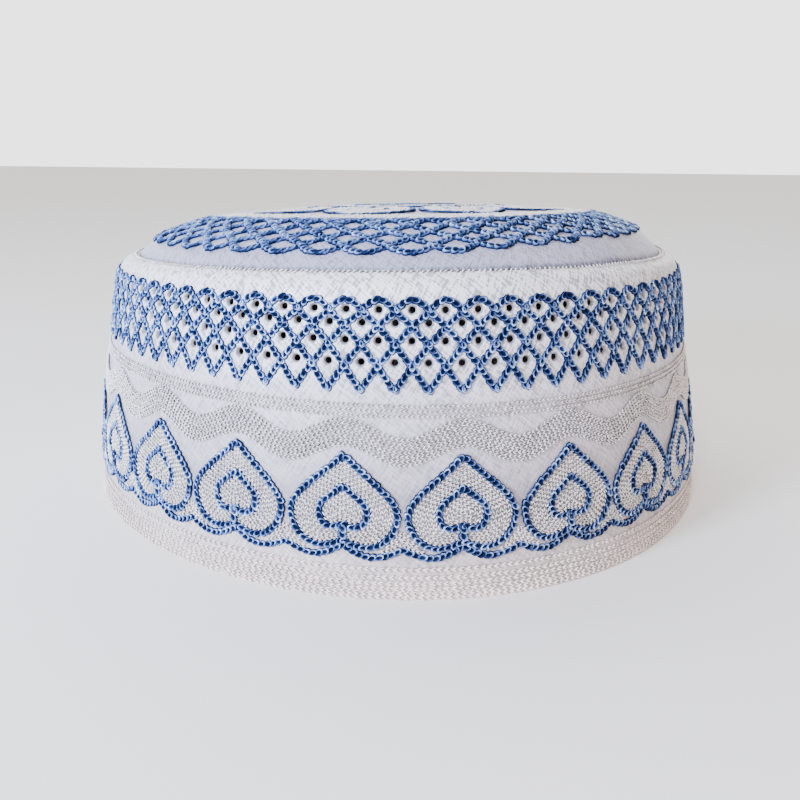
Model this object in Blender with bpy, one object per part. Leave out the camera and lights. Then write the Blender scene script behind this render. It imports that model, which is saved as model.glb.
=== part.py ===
"""An embroidered prayer cap at its real size, resting on its rim.

A stiffened satin side wall rises from the rim to a rounded shoulder, where a sewn seam
joins it to a domed crown top. The dense embroidery stands proud of the satin as thin
pads: the hearts round the wall with a wavy band above them, and on the crown a ring
with a rosette of hearts inside it. The upper wall is pierced by small eyelets.

Metres, +Z up, the rim flat on Z = 0, the front towards -Y.
Turns round the cap are angles from the front, growing towards +X.
"""

import collections
import math

import bmesh
import bpy
from mathutils import Matrix, Vector, geometry

# The cloth.
RIM_RADIUS = 0.0920
CLOTH_THICKNESS = 0.0018
PIECE_GAP = 0.0003
CLOTH_STEPS = 56

Section = collections.namedtuple("Section", "radius height")

# The outside of the side wall, from the rim up over the shoulder.
WALL_SECTIONS = (
    Section(RIM_RADIUS, 0.0),
    Section(0.0910, 0.0100),
    Section(0.0899, 0.0220),
    Section(0.0884, 0.0340),
    Section(0.0859, 0.0480),
    Section(0.0841, 0.0600),
    Section(0.0829, 0.0660),
    Section(0.0813, 0.0695),
    Section(0.0786, 0.0713),
)
SEAM = Section(0.0773, 0.0719)
# The outside of the crown top, from the seam up to the middle.
CROWN_SECTIONS = (
    Section(0.0720, 0.0744),
    Section(0.0650, 0.0769),
    Section(0.0570, 0.0791),
    Section(0.0400, 0.0802),
    Section(0.0200, 0.0814),
    Section(0.0, 0.0817),
)

# The soft cap isn't quite round in front. Its crown leans to one side, and is puffed up
# more in front than at the back.
PlanWave = collections.namedtuple("PlanWave", "waves cosine sine")
PLAN_WAVES = (
    PlanWave(2, -0.0166, -0.0131),
    PlanWave(3, 0.0197, 0.0118),
)
WAVES_FADE_FROM = math.radians(70)
WAVES_FADE_TO = math.radians(130)
CROWN_LEAN = 0.0016
PUFF_FORWARD = 0.475
LEAN_STARTS = 0.040
LEAN_POWER = 4

# Shallow dents of the crown, and a low fold by the seam with a negative depth.
Dent = collections.namedtuple("Dent", "turn radius depth reach")
CROWN_DENTS = (
    Dent(math.radians(-95), 0.0560, 0.0011, 0.017),
    Dent(math.radians(165), 0.0480, 0.0008, 0.020),
    Dent(math.radians(43), 0.0700, -0.0007, 0.008),
)

# Round the cap the shoulder sinks here and there, and one side of the wall draws in.
Side = collections.namedtuple("Side", "turn sink power draw_in")
SIDES = (
    Side(math.radians(-90), 0.0018, 1.4, 0.0),
    Side(math.radians(0), -0.0010, 2.0, 0.0),
    Side(math.radians(90), 0.0029, 3.0, 0.016),
)
SINK_STARTS = 0.050
SINK_ENDS_RADIUS = 0.070
DRAW_IN_FROM = 0.012
DRAW_IN_TO = 0.036

# The embroidered pads.
PAD_THICKNESS = 0.0006
STITCH_WIDTH = 0.0014

HeartCurve = collections.namedtuple("HeartCurve", "start start_handle end_handle end")

# One side of a heart: the distance from its middle line and the height, point upwards.
HEART_SIDE = (
    HeartCurve((0.0, 0.0333), (0.0076, 0.0265), (0.0123, 0.0234), (0.0123, 0.0198)),
    HeartCurve((0.0123, 0.0198), (0.0123, 0.0160), (0.0092, 0.0123), (0.0056, 0.0123)),
    HeartCurve((0.0056, 0.0123), (0.0034, 0.0123), (0.0015, 0.0130), (0.0, 0.0141)),
)
HEART_CURVE_STEPS = 3
SHARPEST_MITRE = 0.5
HEART_NOTCH_HEIGHT = HEART_SIDE[-1].end[1]
HEART_CUTS_ACROSS = (-0.0072, 0.0, 0.0072)
HEART_CUT_HEIGHT = 0.0220

WALL_HEARTS = 21
WALL_HEART_TURN = math.radians(8.77)
WALL_HEART_RADIUS = 0.0900

WAVE_MIDDLE = 0.0363
WAVE_SWING = 0.0021
WAVE_HALF_WIDTH = 0.0033
WAVE_STEPS_PER_HEART = 5

CROWN_RING_OUTSIDE = 0.0563
CROWN_RING_INSIDE = 0.0497
CROWN_HEARTS = 8
CROWN_HEART_TURN = math.radians(28)
CROWN_HEART_NOTCH = 0.0281
CROWN_EYE_RADIUS = 0.0215
CROWN_EYE_CORE = 0.0070
CROWN_EYE_STEPS = 24

# The seam's thread lies on the joint between the wall and the crown.
SEAM_THREAD_RADIUS = 0.00045
SEAM_THREAD_SIDES = 5

# Eyelets pierce the front of the wall, one in each cell of its embroidered lattice.
LATTICE_COLUMNS = 72
LATTICE_TURN = math.radians(1.24)
EYELET_COLUMNS = 24
EYELET_RADIUS = 0.0008
EYELET_SIDES = 6
EYELET_DEPTH = 0.0080

EyeletRow = collections.namedtuple("EyeletRow", "height column_shift")
EYELET_ROWS = (
    EyeletRow(0.0646, 0.0),
    EyeletRow(0.0619, 0.5),
    EyeletRow(0.0582, 0.0),
    EyeletRow(0.0536, 0.5),
)

# Colours: red, green, blue and roughness.
SATIN_WHITE = (0.80, 0.79, 0.84, 0.45)
THREAD_BLUE = (0.13, 0.25, 0.58, 0.50)
THREAD_WHITE = (0.88, 0.87, 0.88, 0.50)

SHARP_EDGE = math.radians(40)
MERGE_DISTANCE = 0.000001


def clear_scene():
    for old in list(bpy.data.objects):
        bpy.data.objects.remove(old, do_unlink=True)


def make_material(name, finish):
    material = bpy.data.materials.new(name)
    material.use_nodes = True
    shader = material.node_tree.nodes["Principled BSDF"]
    shader.inputs["Base Color"].default_value = (*finish[:3], 1.0)
    shader.inputs["Roughness"].default_value = finish[3]
    shader.inputs["Metallic"].default_value = 0.0
    return material


def place(radius, turn, height):
    """A point of the ideal round cap."""
    return Vector((radius * math.sin(turn), -radius * math.cos(turn), height))


def plan_factor(turn):
    """How far out the cloth stands at this turn, as a share of the round cap's radius."""
    fade = (abs(turn) - WAVES_FADE_FROM) / (WAVES_FADE_TO - WAVES_FADE_FROM)
    strength = (1 + math.cos(math.pi * min(max(fade, 0.0), 1.0))) / 2
    return 1.0 + strength * sum(
        wave.cosine * math.cos(wave.waves * turn) + wave.sine * math.sin(wave.waves * turn)
        for wave in PLAN_WAVES
    )


def rim_centre():
    """The middle of the box round the uneven rim, which stands over the origin."""
    turns = [2 * math.pi * step / CLOTH_STEPS - math.pi for step in range(CLOTH_STEPS)]
    rim = [place(RIM_RADIUS * plan_factor(turn), turn, 0.0) for turn in turns]
    across = [point.x for point in rim]
    along = [point.y for point in rim]
    return Vector((min(across) + max(across), min(along) + max(along), 0.0)) / 2


def crown_height(radius):
    """The height of the crown's outside at this distance from its middle."""
    line = [SEAM, *CROWN_SECTIONS]
    for outer, inner in zip(line, line[1:]):
        if radius >= inner.radius:
            break
    share = (radius - inner.radius) / (outer.radius - inner.radius)
    return inner.height + share * (outer.height - inner.height)


def crown_puff(point):
    """How much higher the crown stands here than if it were puffed up evenly all round."""
    radius = math.hypot(point.x, point.y)
    if radius > SEAM.radius:
        return 0.0
    return -PUFF_FORWARD * (crown_height(radius) - SEAM.height) * point.y / SEAM.radius


def share_of(value, start, end):
    """How far a value has come from a start to an end, between 0 and 1."""
    return min(max((value - start) / (end - start), 0.0), 1.0)


def sides(point):
    """How far this point of the shoulder sinks, and how much of its radius is drawn in."""
    turn = math.atan2(point.x, -point.y)
    rise = share_of(point.z, SINK_STARTS, SEAM.height)
    outwards = share_of(math.hypot(point.x, point.y), SINK_ENDS_RADIUS, SEAM.radius)
    up_the_wall = share_of(point.z, DRAW_IN_FROM, DRAW_IN_TO)
    sink = 0.0
    draw_in = 0.0
    for side in SIDES:
        facing = max(math.cos(turn - side.turn), 0.0)
        sink += side.sink * facing**2 * rise**side.power * outwards
        draw_in += side.draw_in * facing**4 * up_the_wall
    return sink, draw_in


def settled(point):
    """Where a point of the ideal round cap lies on the real one: uneven, leaning and dented."""
    sink, draw_in = sides(point)
    factor = plan_factor(math.atan2(point.x, -point.y)) * (1 - draw_in)
    rise = (point.z - LEAN_STARTS) / (SEAM.height - LEAN_STARTS)
    share = min(max(rise, 0.0), 1.0) ** LEAN_POWER
    lift = CROWN_LEAN * point.x / SEAM.radius
    for dent in CROWN_DENTS:
        middle = place(dent.radius, dent.turn, point.z)
        lift -= dent.depth * math.exp(-(((point - middle).length / dent.reach) ** 2))
    height = point.z + lift * share + crown_puff(point) - sink
    return Vector((point.x * factor, point.y * factor, height)) - RIM_CENTRE


RIM_CENTRE = rim_centre()


def section_ways(sections):
    """The outward offset at each section that moves both neighbouring lines out by one."""
    runs = [
        Vector((b.radius - a.radius, b.height - a.height)).normalized()
        for a, b in zip(sections, sections[1:])
    ]
    ways = []
    for before, after in zip([runs[0], *runs], [*runs, runs[-1]]):
        middle = (before + after).normalized()
        ways.append(Vector((middle.y, -middle.x)) / middle.dot(after))
    return ways


def moved(section, way, distance):
    return Section(section.radius + way.x * distance, section.height + way.y * distance)


def cloth_sections():
    """The closed half sections of the wall and the crown, which meet at the seam with a gap."""
    outside = [*WALL_SECTIONS, SEAM, *CROWN_SECTIONS]
    ways = section_ways(outside)
    inside = [moved(s, way, -CLOTH_THICKNESS) for s, way in zip(outside, ways)]
    inside[0] = Section(RIM_RADIUS - CLOTH_THICKNESS, 0.0)
    inside[-1] = Section(0.0, CROWN_SECTIONS[-1].height - CLOTH_THICKNESS)
    seam = len(WALL_SECTIONS)
    up_the_cloth = Vector((-ways[seam].y, ways[seam].x)).normalized()
    below = [moved(line[seam], up_the_cloth, -PIECE_GAP / 2) for line in (outside, inside)]
    above = [moved(line[seam], up_the_cloth, PIECE_GAP / 2) for line in (outside, inside)]
    wall = [*outside[:seam], *below, *inside[:seam][::-1]]
    crown = [*inside[seam + 1 :][::-1], above[1], above[0], *outside[seam + 1 :]]
    return wall, crown


def wall_surface(height, distance):
    """The place this far outside the wall, level with a height below the shoulder."""
    for low, high in zip(WALL_SECTIONS, WALL_SECTIONS[1:]):
        if height <= high.height:
            break
    share = (height - low.height) / (high.height - low.height)
    radius = low.radius + share * (high.radius - low.radius)
    run = Vector((high.radius - low.radius, high.height - low.height)).normalized()
    return Section(radius + run.y * distance, height - run.x * distance)


def finish(name, mesh, material=None):
    """Settles a mesh of the ideal round cap and makes it one named object."""
    bmesh.ops.remove_doubles(mesh, verts=mesh.verts[:], dist=MERGE_DISTANCE)
    for vert in mesh.verts:
        vert.co = settled(vert.co)
    bmesh.ops.recalc_face_normals(mesh, faces=mesh.faces[:])
    data = bpy.data.meshes.new(name)
    mesh.to_mesh(data)
    mesh.free()
    data.shade_smooth()
    data.set_sharp_from_angle(angle=SHARP_EDGE)
    if material:
        data.materials.append(material)
    piece = bpy.data.objects.new(name, data)
    bpy.context.scene.collection.objects.link(piece)
    return piece


def spun(sections, steps, closed=True):
    """A half section turned once round the cap."""
    mesh = bmesh.new()
    verts = [mesh.verts.new(place(s.radius, 0.0, s.height)) for s in sections]
    pairs = list(zip(verts, verts[1:]))
    if closed:
        pairs.append((verts[-1], verts[0]))
    edges = [mesh.edges.new(pair) for pair in pairs]
    bmesh.ops.spin(
        mesh,
        geom=verts + edges,
        cent=(0, 0, 0),
        axis=(0, 0, 1),
        angle=2 * math.pi,
        steps=steps,
        use_merge=True,
    )
    return mesh


def eyelet_cutter():
    """Every eyelet's plug, each square to the wall where it goes through."""
    mesh = bmesh.new()
    pitch = 2 * math.pi / LATTICE_COLUMNS
    for row in EYELET_ROWS:
        low = wall_surface(row.height, -EYELET_DEPTH / 2)
        high = wall_surface(row.height, EYELET_DEPTH / 2)
        for column in range(EYELET_COLUMNS):
            steps_round = column - EYELET_COLUMNS / 2 + row.column_shift
            turn = LATTICE_TURN + steps_round * pitch
            start = place(low.radius, turn, low.height)
            end = place(high.radius, turn, high.height)
            way = (end - start).to_track_quat("Z", "Y").to_matrix().to_4x4()
            bmesh.ops.create_cone(
                mesh,
                cap_ends=True,
                segments=EYELET_SIDES,
                radius1=EYELET_RADIUS,
                radius2=EYELET_RADIUS,
                depth=EYELET_DEPTH,
                matrix=Matrix.Translation((start + end) / 2) @ way,
            )
    cutter = finish("eyelet_cutter", mesh)
    cutter.hide_render = True
    cutter.display_type = "WIRE"
    return cutter


def heart_outline(margin):
    """The points round a flat heart standing in the XZ plane, grown by this margin."""
    right = []
    for curve in HEART_SIDE:
        knots = [Vector((across, 0.0, height)) for across, height in curve]
        right += geometry.interpolate_bezier(*knots, HEART_CURVE_STEPS + 1)[:-1]
    notch = Vector((0.0, 0.0, HEART_NOTCH_HEIGHT))
    left = [Vector((-point.x, 0.0, point.z)) for point in right[1:]]
    outline = [*right, notch, *left[::-1]]
    grown = []
    for index, point in enumerate(outline):
        before = (point - outline[index - 1]).normalized()
        after = (outline[(index + 1) % len(outline)] - point).normalized()
        run = (before + after).normalized()
        outwards = Vector((-run.z, 0.0, run.x))
        grown.append(point + outwards * margin / max(run.dot(after), SHARPEST_MITRE))
    return grown


def flat_heart():
    """A flat heart pad, cut where it has to bend, with its face towards -Y."""
    mesh = bmesh.new()
    mesh.faces.new([mesh.verts.new(point) for point in heart_outline(STITCH_WIDTH / 2)])
    cuts = [(Vector((across, 0.0, 0.0)), Vector((1, 0, 0))) for across in HEART_CUTS_ACROSS]
    cuts.append((Vector((0.0, 0.0, HEART_CUT_HEIGHT)), Vector((0, 0, 1))))
    for point, normal in cuts:
        everything = mesh.verts[:] + mesh.edges[:] + mesh.faces[:]
        bmesh.ops.bisect_plane(mesh, geom=everything, plane_co=point, plane_no=normal)
    raised = bmesh.ops.extrude_face_region(mesh, geom=mesh.faces[:])
    lifted = [item for item in raised["geom"] if isinstance(item, bmesh.types.BMVert)]
    bmesh.ops.translate(mesh, verts=lifted, vec=(0.0, -PAD_THICKNESS, 0.0))
    return mesh


def make_wall(material):
    sections, _ = cloth_sections()
    wall = finish("side_wall", spun(sections, CLOTH_STEPS), material)
    eyelets = wall.modifiers.new("eyelets", "BOOLEAN")
    eyelets.operation = "DIFFERENCE"
    eyelets.solver = "EXACT"
    eyelets.object = eyelet_cutter()


def make_crown(material):
    _, sections = cloth_sections()
    finish("crown_top", spun(sections, CLOTH_STEPS, closed=False), material)


def make_seam_thread(material):
    ways = section_ways([WALL_SECTIONS[-1], SEAM, CROWN_SECTIONS[0]])
    middle = moved(SEAM, ways[1], PIECE_GAP + SEAM_THREAD_RADIUS)
    corners = []
    for side in range(SEAM_THREAD_SIDES):
        angle = 2 * math.pi * side / SEAM_THREAD_SIDES
        corner = Vector((math.cos(angle), math.sin(angle)))
        corners.append(moved(middle, corner, SEAM_THREAD_RADIUS))
    finish("seam_thread", spun(corners, CLOTH_STEPS), material)


def make_wall_hearts(material):
    for number in range(WALL_HEARTS):
        mesh = flat_heart()
        middle = WALL_HEART_TURN + 2 * math.pi * number / WALL_HEARTS
        for vert in mesh.verts:
            outside = wall_surface(vert.co.z, PIECE_GAP - vert.co.y)
            turn = middle + vert.co.x / WALL_HEART_RADIUS
            vert.co = place(outside.radius, turn, outside.height)
        finish(f"heart_{number + 1:02d}", mesh, material)


def make_wave_band(material):
    levels = (-WAVE_HALF_WIDTH, 0.0, WAVE_HALF_WIDTH)
    back = [Section(RIM_RADIUS, level) for level in levels]
    front = [Section(RIM_RADIUS + PAD_THICKNESS, level) for level in levels]
    mesh = spun([*back, *front[::-1]], WAVE_STEPS_PER_HEART * WALL_HEARTS)
    for vert in mesh.verts:
        turn = math.atan2(vert.co.x, -vert.co.y)
        distance = PIECE_GAP + math.hypot(vert.co.x, vert.co.y) - RIM_RADIUS
        swing = WAVE_SWING * math.cos(WALL_HEARTS * (turn - WALL_HEART_TURN))
        outside = wall_surface(WAVE_MIDDLE + swing + vert.co.z, distance)
        vert.co = place(outside.radius, turn, outside.height)
    finish("wave_band", mesh, material)


def pad_sections(radii):
    """The closed half section of a pad that lies on the crown between these radii."""
    under = [Section(radius, crown_height(radius) + PIECE_GAP) for radius in radii]
    over = [Section(s.radius, s.height + PAD_THICKNESS) for s in under]
    return under, over[::-1]


def make_crown_ring(material):
    under, over = pad_sections((CROWN_RING_OUTSIDE, CROWN_RING_INSIDE))
    finish("crown_ring", spun([*under, *over], CLOTH_STEPS), material)


def make_crown_hearts(material):
    for number in range(CROWN_HEARTS):
        mesh = flat_heart()
        middle = CROWN_HEART_TURN + 2 * math.pi * number / CROWN_HEARTS
        for vert in mesh.verts:
            outwards = CROWN_HEART_NOTCH + vert.co.z - HEART_NOTCH_HEIGHT
            radius = math.hypot(vert.co.x, outwards)
            turn = middle + math.atan2(vert.co.x, outwards)
            height = crown_height(radius) + PIECE_GAP - vert.co.y
            vert.co = place(radius, turn, height)
        finish(f"crown_heart_{number + 1:02d}", mesh, material)


def make_crown_eye(material):
    under, over = pad_sections((0.0, CROWN_EYE_CORE, CROWN_EYE_RADIUS))
    finish("crown_eye", spun([*under, *over], CROWN_EYE_STEPS, closed=False), material)


def make_cap():
    satin = make_material("white_satin", SATIN_WHITE)
    blue = make_material("blue_thread", THREAD_BLUE)
    white = make_material("white_thread", THREAD_WHITE)
    make_wall(satin)
    make_crown(satin)
    make_seam_thread(white)
    make_wall_hearts(white)
    make_wave_band(white)
    make_crown_ring(white)
    make_crown_hearts(white)
    make_crown_eye(blue)


clear_scene()
make_cap()
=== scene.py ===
"""The cloth, stitches and light of an embroidered prayer cap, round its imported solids.

Metres, +Z up, the rim on the floor, the front towards -Y. A place on the cloth is given by
its turn, an angle from the front that grows towards +X, and its run, the way up the cloth
from the rim over the shoulder to the middle of the crown.
"""

import collections
import math

import bmesh
import bpy
import numpy as np
from mathutils import Matrix, Vector, geometry


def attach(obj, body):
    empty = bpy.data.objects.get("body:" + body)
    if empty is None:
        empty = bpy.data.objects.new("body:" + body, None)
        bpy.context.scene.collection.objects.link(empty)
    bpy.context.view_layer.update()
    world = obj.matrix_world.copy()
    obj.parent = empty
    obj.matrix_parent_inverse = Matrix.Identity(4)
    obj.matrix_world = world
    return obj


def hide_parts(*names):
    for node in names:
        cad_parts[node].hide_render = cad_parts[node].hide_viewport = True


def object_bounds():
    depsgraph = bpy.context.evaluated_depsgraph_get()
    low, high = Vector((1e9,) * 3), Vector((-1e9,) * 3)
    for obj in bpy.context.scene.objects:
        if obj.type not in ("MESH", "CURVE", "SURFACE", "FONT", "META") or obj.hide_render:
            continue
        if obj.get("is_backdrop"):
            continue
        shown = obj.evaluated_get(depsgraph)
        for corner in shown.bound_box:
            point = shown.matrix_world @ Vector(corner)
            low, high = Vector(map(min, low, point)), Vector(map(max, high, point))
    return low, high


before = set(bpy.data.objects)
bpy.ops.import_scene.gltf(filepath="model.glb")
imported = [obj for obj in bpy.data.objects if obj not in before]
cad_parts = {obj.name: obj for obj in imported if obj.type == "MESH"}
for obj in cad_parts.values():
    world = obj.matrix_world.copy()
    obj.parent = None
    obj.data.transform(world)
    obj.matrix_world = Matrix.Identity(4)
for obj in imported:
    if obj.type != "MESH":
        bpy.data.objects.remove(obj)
SOLID_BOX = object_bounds()

# The cap's shape, with the same sizes as its solids.
Section = collections.namedtuple("Section", "radius height")
PlanWave = collections.namedtuple("PlanWave", "waves cosine sine")
Dent = collections.namedtuple("Dent", "turn radius depth reach")
Side = collections.namedtuple("Side", "turn sink power draw_in")
HeartCurve = collections.namedtuple("HeartCurve", "start start_handle end_handle end")

RIM_RADIUS = 0.0920
CLOTH_THICKNESS = 0.0018
WALL_SECTIONS = (
    Section(RIM_RADIUS, 0.0),
    Section(0.0910, 0.0100),
    Section(0.0899, 0.0220),
    Section(0.0884, 0.0340),
    Section(0.0859, 0.0480),
    Section(0.0841, 0.0600),
    Section(0.0829, 0.0660),
    Section(0.0813, 0.0695),
    Section(0.0786, 0.0713),
)
SEAM = Section(0.0773, 0.0719)
CROWN_SECTIONS = (
    Section(0.0720, 0.0744),
    Section(0.0650, 0.0769),
    Section(0.0570, 0.0791),
    Section(0.0400, 0.0802),
    Section(0.0200, 0.0814),
    Section(0.0, 0.0817),
)
PLAN_WAVES = (
    PlanWave(2, -0.0166, -0.0131),
    PlanWave(3, 0.0197, 0.0118),
)
WAVES_FADE_FROM = math.radians(70)
WAVES_FADE_TO = math.radians(130)
CROWN_LEAN = 0.0016
PUFF_FORWARD = 0.475
LEAN_STARTS = 0.040
LEAN_POWER = 4
CROWN_DENTS = (
    Dent(math.radians(-95), 0.0560, 0.0011, 0.017),
    Dent(math.radians(165), 0.0480, 0.0008, 0.020),
    Dent(math.radians(43), 0.0700, -0.0007, 0.008),
)

SIDES = (
    Side(math.radians(-90), 0.0018, 1.4, 0.0),
    Side(math.radians(0), -0.0010, 2.0, 0.0),
    Side(math.radians(90), 0.0029, 3.0, 0.016),
)
SINK_STARTS = 0.050
SINK_ENDS_RADIUS = 0.070
DRAW_IN_FROM = 0.012
DRAW_IN_TO = 0.036

# The embroidery's layout.
HEART_SIDE = (
    HeartCurve((0.0, 0.0333), (0.0076, 0.0265), (0.0123, 0.0234), (0.0123, 0.0198)),
    HeartCurve((0.0123, 0.0198), (0.0123, 0.0160), (0.0092, 0.0123), (0.0056, 0.0123)),
    HeartCurve((0.0056, 0.0123), (0.0034, 0.0123), (0.0015, 0.0130), (0.0, 0.0141)),
)
INNER_HEART_SIDE = (
    HeartCurve((0.0, 0.0264), (0.0031, 0.0236), (0.0055, 0.0226), (0.0055, 0.0205)),
    HeartCurve((0.0055, 0.0205), (0.0055, 0.0185), (0.0046, 0.0169), (0.0030, 0.0169)),
    HeartCurve((0.0030, 0.0169), (0.0019, 0.0169), (0.0008, 0.0172), (0.0, 0.0178)),
)
HEART_CORE = (0.0, 0.0207)
HEART_CURVE_STEPS = 16
# Half of what a heart's stitches cover, across and up.
HEART_HALF_SIZE = (0.0118, 0.0086)
WALL_HEARTS = 21
WALL_HEART_TURN = math.radians(8.77)
WALL_HEART_RADIUS = 0.0900
CROWN_HEARTS = 8
CROWN_HEART_TURN = math.radians(28)
CROWN_HEART_NOTCH = 0.0281

# The wavy band: the height of its middle, how far that swings and half the band's width.
WAVE_MIDDLE = 0.0363
WAVE_SWING = 0.0021
WAVE_HALF_WIDTH = 0.0037

WALL_LATTICE_COLUMNS = 72
WALL_LATTICE_TURN = math.radians(1.24)
WALL_LATTICE_HEIGHTS = (0.0665, 0.0642, 0.0612, 0.0573, 0.0528, 0.0474)
CROWN_LATTICE_COLUMNS = 42
CROWN_LATTICE_TURN = math.radians(1.0)
CROWN_LATTICE_RADII = (0.0722, 0.0693, 0.0664, 0.0635, 0.0604, 0.0572)
CROWN_LATTICE_SHIFT = 0.0024
LATTICE_ROUNDING = 0.55

# The satin is drawn flat first: a place round it is this radius times its turn.
FLAT_RADIUS = 0.0850

# Stitch sizes.
BLUE_PITCH = 0.00150
BLUE_WIDTH = 0.00214
BLUE_HEIGHT = 0.00066
WHITE_PITCH = 0.00112
WHITE_WIDTH = 0.00100
WHITE_HEIGHT = 0.00060
HEM_PITCH = 0.00165
HEM_WIDTH = 0.00125
HEM_HEIGHT = 0.00046
ROW_SPACING = 0.00093

LINE_STEPS = 24


def profile():
    """The outside of the cloth as a smooth line: its runs, radii, heights and outward ways."""
    sections = [Vector((s.radius, s.height)) for s in (*WALL_SECTIONS, SEAM, *CROWN_SECTIONS)]
    past_middle = Vector((-sections[-2].x, sections[-2].y))
    line = [sections[0] * 2 - sections[1], *sections, past_middle]
    points = []
    for before, start, end, after in zip(line, line[1:], line[2:], line[3:]):
        reach = (end - start).length / 3
        leave = start + (end - before).normalized() * reach
        arrive = end - (after - start).normalized() * reach
        knots = [knot.to_3d() for knot in (start, leave, arrive, end)]
        points += geometry.interpolate_bezier(*knots, LINE_STEPS + 1)[:-1]
    points.append(sections[-1].to_3d())
    radii, heights = np.array([point[:2] for point in points]).T
    radii[-1] = 0.0
    runs = np.concatenate([[0.0], np.cumsum(np.hypot(np.diff(radii), np.diff(heights)))])
    ways = np.gradient(heights, runs), -np.gradient(radii, runs)
    return runs, radii, heights, ways[0], ways[1]


RUNS, RADII, HEIGHTS, OUT_RADII, OUT_HEIGHTS = profile()
SEAM_RUN = RUNS[LINE_STEPS * len(WALL_SECTIONS)]
MIDDLE_RUN = RUNS[-1]


def run_at_height(height):
    """The run of a height on the wall."""
    on_wall = RUNS <= SEAM_RUN
    return np.interp(height, HEIGHTS[on_wall], RUNS[on_wall])


def run_at_radius(radius):
    """The run of a distance from the middle on the crown."""
    on_crown = RUNS >= SEAM_RUN
    return np.interp(-np.asarray(radius), -RADII[on_crown], RUNS[on_crown])


def place(radius, turn, height):
    return np.stack([radius * np.sin(turn), -radius * np.cos(turn), height], axis=-1)


def plan_factor(turn):
    """How far out the cloth stands at this turn, as a share of the round cap's radius."""
    fade = np.clip((np.abs(turn) - WAVES_FADE_FROM) / (WAVES_FADE_TO - WAVES_FADE_FROM), 0, 1)
    waves = sum(
        wave.cosine * np.cos(wave.waves * turn) + wave.sine * np.sin(wave.waves * turn)
        for wave in PLAN_WAVES
    )
    return 1 + (1 + np.cos(np.pi * fade)) / 2 * waves


def rim_centre():
    turns = np.linspace(-math.pi, math.pi, 721)
    rim = place(RIM_RADIUS * plan_factor(turns), turns, 0 * turns)
    return (rim.min(axis=0) + rim.max(axis=0)) / 2


def crown_puff(points):
    """How much higher the crown stands here than if it were puffed up evenly all round."""
    radius = np.hypot(points[..., 0], points[..., 1])
    on_crown = RUNS >= SEAM_RUN
    height = np.interp(-radius, -RADII[on_crown], HEIGHTS[on_crown])
    return -PUFF_FORWARD * (height - SEAM.height) * points[..., 1] / SEAM.radius


def share_of(values, start, end):
    """How far values have come from a start to an end, between 0 and 1."""
    return np.clip((values - start) / (end - start), 0, 1)


def sides(points):
    """How far these points of the shoulder sink, and how much of their radius is drawn in."""
    turn = np.arctan2(points[..., 0], -points[..., 1])
    rise = share_of(points[..., 2], SINK_STARTS, SEAM.height)
    radius = np.hypot(points[..., 0], points[..., 1])
    outwards = share_of(radius, SINK_ENDS_RADIUS, SEAM.radius)
    up_the_wall = share_of(points[..., 2], DRAW_IN_FROM, DRAW_IN_TO)
    facing = [np.clip(np.cos(turn - side.turn), 0, 1) for side in SIDES]
    sink = sum(s.sink * f**2 * rise**s.power * outwards for s, f in zip(SIDES, facing))
    draw_in = sum(s.draw_in * f**4 * up_the_wall for s, f in zip(SIDES, facing))
    return sink, draw_in


def settled(points):
    """Where points of the ideal round cap lie on the real one: uneven, leaning and dented."""
    sink, draw_in = sides(points)
    factor = plan_factor(np.arctan2(points[..., 0], -points[..., 1])) * (1 - draw_in)
    rise = (points[..., 2] - LEAN_STARTS) / (SEAM.height - LEAN_STARTS)
    share = np.clip(rise, 0, 1) ** LEAN_POWER
    lift = CROWN_LEAN * points[..., 0] / SEAM.radius
    for dent in CROWN_DENTS:
        middle = place(dent.radius, dent.turn, 0.0)
        away = np.hypot(points[..., 0] - middle[0], points[..., 1] - middle[1])
        lift = lift - dent.depth * np.exp(-((away / dent.reach) ** 2))
    height = points[..., 2] + lift * share + crown_puff(points) - sink
    spread = [points[..., 0] * factor, points[..., 1] * factor, height]
    return np.stack(spread, axis=-1) - RIM_CENTRE


RIM_CENTRE = rim_centre()


def on_cap(runs, turns, lifts=0.0):
    """Points on the cap's cloth, or lifted off it by so much."""
    radius = np.interp(runs, RUNS, RADII) + lifts * np.interp(runs, RUNS, OUT_RADII)
    height = np.interp(runs, RUNS, HEIGHTS) + lifts * np.interp(runs, RUNS, OUT_HEIGHTS)
    return settled(place(radius, turns, height))


def unit(vectors):
    return vectors / np.linalg.norm(vectors, axis=-1, keepdims=True)


class Wave:
    """A number, colour or place that varies over a surface, with the sums it can be used in."""

    def __init__(self, paint, socket):
        self.paint = paint
        self.socket = socket

    def maths(self, operation, first, second):
        return self.paint.node("ShaderNodeMath", {"operation": operation}, {0: first, 1: second})

    def __add__(self, other):
        return self.maths("ADD", self, other)

    def __radd__(self, other):
        return self.maths("ADD", other, self)

    def __sub__(self, other):
        return self.maths("SUBTRACT", self, other)

    def __rsub__(self, other):
        return self.maths("SUBTRACT", other, self)

    def __mul__(self, other):
        return self.maths("MULTIPLY", self, other)


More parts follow.
